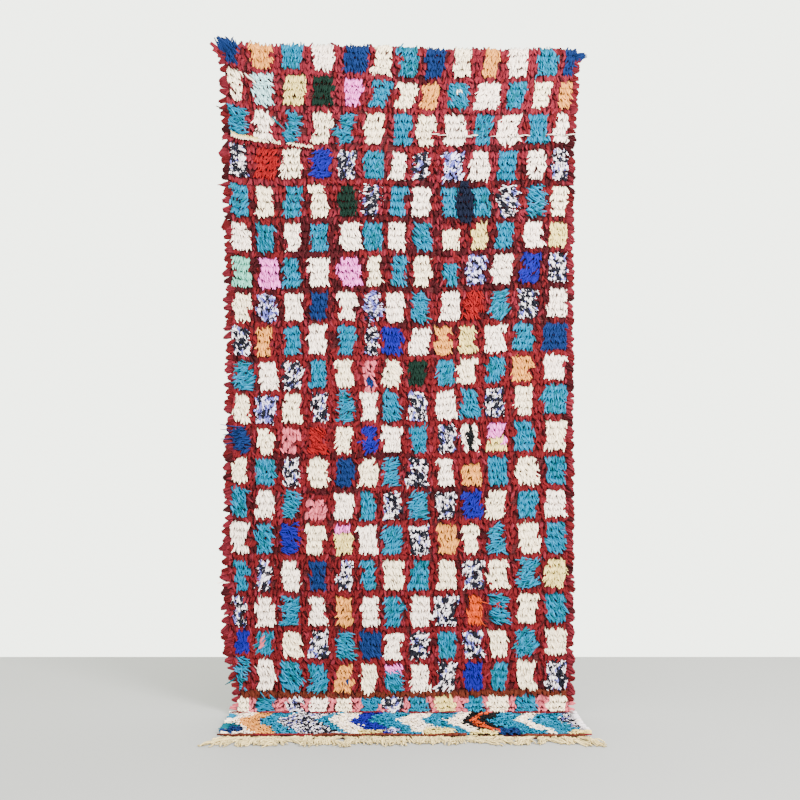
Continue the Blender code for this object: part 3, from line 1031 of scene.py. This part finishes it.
def tie_locks(name, part, outward, rng):
    """Ties the locks of one part of a side, each folded out of a few rag ends."""
    sizes = bpy.context.scene.rug_sizes
    hanging = part == "hanging"
    across = ROW_PLACES[0] if outward < 0 else ROW_PLACES[-1]
    rows = [float(row_down(band, share, across)) for band, _, share in knot_rows()]
    rows = np.array([row for row in rows if (row < SPLIT_DOWN) == hanging and row > FIRST_LOCK])
    locks = len(rows)
    fold = np.tile(np.linspace(-1, 1, LOCK_FOLDS), locks)
    n = locks * LOCK_FOLDS

    def each(values):
        return np.repeat(values, LOCK_FOLDS)

    down = each(rows + rng.normal(0, 0.003, locks))
    size = sizes.lock_width * each(rng.uniform(0.75, 1.25, locks))
    left, right = width_at(down)
    edge = left if outward < 0 else right
    # The right side's locks are calmer, and brighter further down
    calm, bright_until = (0.0, 0.12) if outward < 0 else (0.12, 0.28)
    opening, lift = (0.40 + calm, 0.004) if hanging else (0.30, 0.006)
    reach = each(rng.uniform(-0.008, 0.006, locks)) * (1 - 4 * calm) - 0.004 * fold**2
    length = rng.uniform(0.030, 0.038, n) * (1.0 if hanging else 0.75)
    droop = 1.30 - calm * 1.1 + each(rng.normal(0, 0.16, locks))
    lean = outward * (droop + 0.26 * fold + rng.normal(0, 0.08, n))
    ends = {
        "x": edge + outward * (STRIP_AND_LOCK + reach) - np.sin(lean) * length / 2,
        "down": down + fold * size * opening - lift,
        "lean": lean,
        "length": length,
        "width": size * rng.uniform(0.42, 0.66, n) * (1.0 if hanging else 0.7),
        "crest": sizes.pile_depth * rng.uniform(0.55, 0.94, n),
        "tip": sizes.pile_depth * rng.uniform(0.35, 0.80, n),
    }
    ends = finish_ends(ends, rng)
    if hanging:
        darker = np.where(rows < bright_until, 0.0, np.where(rows < 0.8, 0.30, 0.15))
        chance = rng.random(locks) + darker
        rags = each(np.where(chance < 0.70, "raspberry", np.where(chance < 1.04, "brick", "burgundy")))
    else:
        rags = floor_rags(edge, ends["down"] - FLOOR_START, rng)
        rags = patched(rags, ends["x"], ends["down"], rng)
        rags = np.where(down < FLOOR_START, "coral", rags)
    names = sorted(set(rags.tolist()))
    corners = len(RAG_SHAPE[0])
    tint = np.clip(each(rng.random(locks)) * 0.5 + rng.uniform(-0.1, 0.3, n), 0, 1)
    values = {
        "tint": np.repeat(tint, corners),
        "dye": np.repeat(dye_numbers(rags, names), corners),
        "along": np.tile(0.12 + 0.88 * RAG_SHAPE[0][:, 2], n),
    }
    # The hanging locks get a darker copy of their material: painted shadow over the locks along the sides
    finish = rag_finish(f"{name}_{part}", names, painted_shadow=0.85 if hanging else 1.0)
    piece = make_piece(f"{name}_locks_{part}", strips(ends), joined(RAG_SHAPE, n), finish, values)
    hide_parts(f"{name}_edge_{part}")


def metres(name, default, description):
    """A property for a length."""
    return FloatProperty(name=name, description=description, default=default, unit="LENGTH")


def watts(name, default, description):
    """A property for a lamp's power."""
    return FloatProperty(name=name, description=description, default=default, unit="POWER")


class RugSizes(bpy.types.PropertyGroup):
    """Sizes of the rug's rags and yarns."""

    end_pitch: metres("End pitch", 0.0028, "Width of cloth for each loose end in a cell")
    knot_pitch: metres("Knot pitch", 0.0150, "Width of cloth for each knot seen from behind")
    rag_length: metres("Rag length", 0.0300, "Length of a loose rag end")
    floor_rag_length: metres("Floor rag length", 0.0240, "Length of a loose rag end on the floor")
    pile_depth: metres("Pile depth", 0.0205, "Depth of the pile in front of the back")
    ground_width: metres("Ground rag width", 0.0106, "Width of the red rags")
    cell_width: metres("Cell rag width", 0.0064, "Width of the rags in the cells")
    lock_width: metres("Lock width", 0.0210, "Width of a lock along the sides")
    sheet_thickness: metres("Ground thickness", 0.0032, "Thickness of the woven ground")
    fringe_length: metres("Fringe length", 0.112, "Length of the longest warp ends")
    fringe_bundles: IntProperty(name="Fringe bundles", description="Bundles of warp ends", default=78)
    yarn_width: metres("Yarn width", 0.0046, "Diameter of a warp end")


class StudioSettings(bpy.types.PropertyGroup):
    """Light and camera of the studio."""

    key_power: watts("Key light", 820.0, "Power of the key lamp")
    fill_power: watts("Fill light", 60.0, "Power of the fill lamp")
    sky_strength: FloatProperty(name="Sky", description="Strength of the pale surround", default=4.5)
    sky_colour: FloatVectorProperty(
        name="Surround", description="Colour of the surround", subtype="COLOR", default=SKY_COLOUR
    )
    camera_height: metres("Camera height", 0.93, "Height of the camera over the floor")
    camera_distance: metres("Camera distance", 3.60, "Camera to the hanging cloth")


class RUG_OT_woven_ground(bpy.types.Operator):
    """Weaves the sheet that the knots are tied to"""

    bl_idname = "rug.woven_ground"
    bl_label = "Weave the ground"

    def execute(self, context):
        sizes = context.scene.rug_sizes
        bm = bmesh.new()
        bmesh.ops.create_grid(bm, x_segments=GROUND_GRID[0], y_segments=GROUND_GRID[1], size=0.5)
        overhang = GROUND_OVERHANG / MEAN_WIDTH
        shares = np.array([(v.co.x + 0.5, 0.5 - v.co.y) for v in bm.verts])
        across = shares[:, 0] * (1 + 2 * overhang) - overhang
        down = shares[:, 1] * CLOTH_LENGTH
        points = CLOTH.points(across, down, np.full(len(across), GROUND_BACK + sizes.sheet_thickness))
        layer = bm.loops.layers.uv.new("cloth")
        for face in bm.faces:
            for corner in face.loops:
                number = corner.vert.index
                corner[layer].uv = (across[number] * MEAN_WIDTH, down[number])
        for vert, point in zip(bm.verts, points):
            vert.co = point
        bmesh.ops.recalc_face_normals(bm, faces=bm.faces)
        if sum(face.normal.y for face in bm.faces) > 0:
            bmesh.ops.reverse_faces(bm, faces=bm.faces)
        bmesh.ops.solidify(bm, geom=bm.faces, thickness=sizes.sheet_thickness)
        mesh = mesh_of(bm, "woven_ground", ground_finish())
        mesh.shade_smooth()
        ground = added("woven_ground", mesh)
        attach(ground, "root")
        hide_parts("rug_field")
        return {"FINISHED"}


class RUG_OT_red_rags(bpy.types.Operator):
    """Knots the red rags between the cells"""

    bl_idname = "rug.red_rags"
    bl_label = "Knot the red ground"

    def execute(self, context):
        knot_pieces(("raspberry", "brick", "dark_red"))
        return {"FINISHED"}


class RUG_OT_cream_rags(bpy.types.Operator):
    """Knots the cream, ivory and straw cells"""

    bl_idname = "rug.cream_rags"
    bl_label = "Knot the cream cells"

    def execute(self, context):
        knot_pieces(("natural", "ivory"))
        return {"FINISHED"}


class RUG_OT_blue_rags(bpy.types.Operator):
    """Knots the turquoise, teal and sky blue rags"""

    bl_idname = "rug.blue_rags"
    bl_label = "Knot the turquoise cells"

    def execute(self, context):
        knot_pieces(("turquoise", "teal"))
        return {"FINISHED"}


class RUG_OT_scrap_rags(bpy.types.Operator):
    """Knots the cells made of odd scraps and prints"""

    bl_idname = "rug.scrap_rags"
    bl_label = "Knot the scraps"

    def execute(self, context):
        knot_pieces(("warm_scraps", "cool_scraps", "prints"))
        return {"FINISHED"}


class RUG_OT_side_locks(bpy.types.Operator):
    """Ties the rag locks that stand out along both sides"""

    bl_idname = "rug.side_locks"
    bl_label = "Tie the side locks"

    def execute(self, context):
        for number, (name, outward) in enumerate((("left", -1), ("right", 1))):
            rng = np.random.default_rng(SEED + 60 + number)
            tie_locks(name, "hanging", outward, rng)
            tie_locks(name, "floor", outward, rng)
        return {"FINISHED"}


class RUG_OT_warp_fringe(bpy.types.Operator):
    """Lays the loose warp ends on the floor in front"""

    bl_idname = "rug.warp_fringe"
    bl_label = "Lay the fringe"

    def execute(self, context):
        sizes = context.scene.rug_sizes
        rng = np.random.default_rng(SEED + 90)
        shape, _ = YARN_SHAPE
        bundles = sizes.fringe_bundles
        each = YARNS_IN_BUNDLE
        n = bundles * each
        share = np.repeat((np.arange(bundles) + rng.uniform(0.2, 0.8, bundles)) / bundles, each)
        spread = np.tile(np.linspace(-0.5, 0.5, each), bundles)
        tuft = np.array([grain(s * 13.0, 1.0, 71.0) for s in share])
        long = np.repeat(rng.beta(2.2, 1.4, bundles), each) * rng.uniform(0.70, 1.0, n) * (0.95 + 0.5 * tuft)
        trend = np.interp(share, [0, 0.45, 0.62, 1], [1, 1, 0.82, 0.9])
        length = sizes.fringe_length * (0.26 + 0.74 * long) * trend
        astray = np.where(rng.random(bundles) < 0.22, 0.034, 0.011)
        swerve = np.repeat(rng.normal(0, 1, bundles) * astray, each) + rng.normal(0, 0.0055, n)
        fan = np.where(share < 0.5, -0.046, 0.036) * np.abs(2 * share - 1) ** 4
        curl = np.repeat(rng.normal(0, 0.010, bundles), each) * rng.uniform(0.2, 1.8, n)
        height = np.repeat(rng.uniform(0.0, 0.0050, bundles), each) + rng.uniform(0.0, 0.0035, n)
        v = shape[:, 2][None]
        gather = 1 - 0.45 * np.sin(math.pi * np.minimum(v * 1.3, 1.0))
        x = (FRINGE_LEFT + FRINGE_WIDTH * share + spread * 0.4 * FRINGE_WIDTH / bundles)[:, None]
        x = x + (spread * 0.011)[:, None] * gather
        x = x + (swerve + fan)[:, None] * v + curl[:, None] * np.sin(math.pi * v * 1.5)
        phase = rng.uniform(0, 2 * math.pi, n)[:, None]
        x = x + 0.0022 * np.sin(v * 15 + phase) * np.minimum(1, 3 * v)
        y = FRONT_Y + 0.005 - length[:, None] * v + 0 * x
        lift = height[:, None] * (1 - v) ** 1.5 + 0.0030 * (1 + np.sin(v * 11 + phase)) * np.minimum(1, 2 * v)
        taper = np.interp(v, [0, 0.8, 1], [1.0, 1.08, 0.72])
        wide = sizes.yarn_width * rng.uniform(0.8, 1.2, n)[:, None] * taper
        sideways = shape[:, 0][None] * wide
        points = np.stack([x + sideways, y, lift + shape[:, 1][None] * wide * 0.85 + 0.0002], axis=-1)
        values = {
            "tint": np.repeat(rng.random(n), len(shape)),
            "along": np.tile(shape[:, 2], n),
        }
        piece = make_piece("warp_ends", points.reshape(-1, 3), joined(YARN_SHAPE, n), warp_finish(), values)
        piece.data.shade_smooth()
        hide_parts("warp_fringe")
        return {"FINISHED"}


class RUG_OT_studio(bpy.types.Operator):
    """Sets the plain floor, soft light and the camera in front"""

    bl_idname = "rug.studio"
    bl_label = "Set the studio"

    def execute(self, context):
        settings = context.scene.rug_studio
        bm = bmesh.new()
        bmesh.ops.create_grid(bm, x_segments=8, y_segments=8, size=1.0)
        bmesh.ops.scale(bm, vec=(*FLOOR_REACH, 1.0), verts=bm.verts)
        bmesh.ops.translate(bm, vec=(0, CLOTH_FRONT + FLOOR_BEHIND - FLOOR_REACH[1], 0), verts=bm.verts)
        added("floor", mesh_of(bm, "floor", floor_finish()))
        add_lamp("key", *LAMPS["key"], settings.key_power)
        add_lamp("fill", *LAMPS["fill"], settings.fill_power)
        world = bpy.data.worlds.new("studio")
        world.use_nodes = True
        surround = world.node_tree.nodes["Background"]
        surround.inputs["Color"].default_value = (*settings.sky_colour, 1.0)
        surround.inputs["Strength"].default_value = settings.sky_strength
        context.scene.world = world
        camera = bpy.data.cameras.new("camera")
        camera.lens = SENSOR_WIDTH * FOCAL_PIXELS / PHOTO_SIZE
        camera.sensor_width = SENSOR_WIDTH
        camera.shift_y = (HORIZON_ROW - PHOTO_SIZE / 2) / PHOTO_SIZE
        holder = added("camera", camera)
        holder.location = (0.0, CLOTH_FRONT - settings.camera_distance, settings.camera_height)
        holder.rotation_euler = (math.pi / 2, 0, 0)
        context.scene.camera = holder
        return {"FINISHED"}


def add_lamp(name, place, target, size, power):
    """A square soft lamp turned towards a point."""
    lamp = bpy.data.lights.new(name, "AREA")
    lamp.size = size
    lamp.energy = power
    holder = added(name, lamp)
    holder.location = place
    holder.rotation_euler = (Vector(target) - Vector(place)).to_track_quat("-Z", "Y").to_euler()


STEPS = (
    RUG_OT_woven_ground,
    RUG_OT_red_rags,
    RUG_OT_cream_rags,
    RUG_OT_blue_rags,
    RUG_OT_scrap_rags,
    RUG_OT_side_locks,
    RUG_OT_warp_fringe,
    RUG_OT_studio,
)


class RUG_PT_panel(bpy.types.Panel):
    """Lists the rug's sizes and the steps that make it"""

    bl_label = "Boucherouite rug"
    bl_idname = "RUG_PT_panel"
    bl_space_type = "VIEW_3D"
    bl_region_type = "UI"
    bl_category = "Rug"

    def draw(self, context):
        for settings in (context.scene.rug_sizes, context.scene.rug_studio):
            for name in settings.bl_rna.properties.keys():
                if name not in ("rna_type", "name"):
                    self.layout.prop(settings, name)
        for step in STEPS:
            self.layout.operator(step.bl_idname)


CLASSES = (RugSizes, StudioSettings, *STEPS, RUG_PT_panel)


def register():
    for found in CLASSES:
        bpy.utils.register_class(found)
    bpy.types.Scene.rug_sizes = PointerProperty(type=RugSizes)
    bpy.types.Scene.rug_studio = PointerProperty(type=StudioSettings)


def unregister():
    del bpy.types.Scene.rug_sizes
    del bpy.types.Scene.rug_studio
    for found in reversed(CLASSES):
        bpy.utils.unregister_class(found)


def main():
    register()
    bpy.ops.rug.woven_ground()
    bpy.ops.rug.red_rags()
    bpy.ops.rug.cream_rags()
    bpy.ops.rug.blue_rags()
    bpy.ops.rug.scrap_rags()
    bpy.ops.rug.side_locks()
    bpy.ops.rug.warp_fringe()
    bpy.ops.rug.studio()


if __name__ == "__main__":
    main()
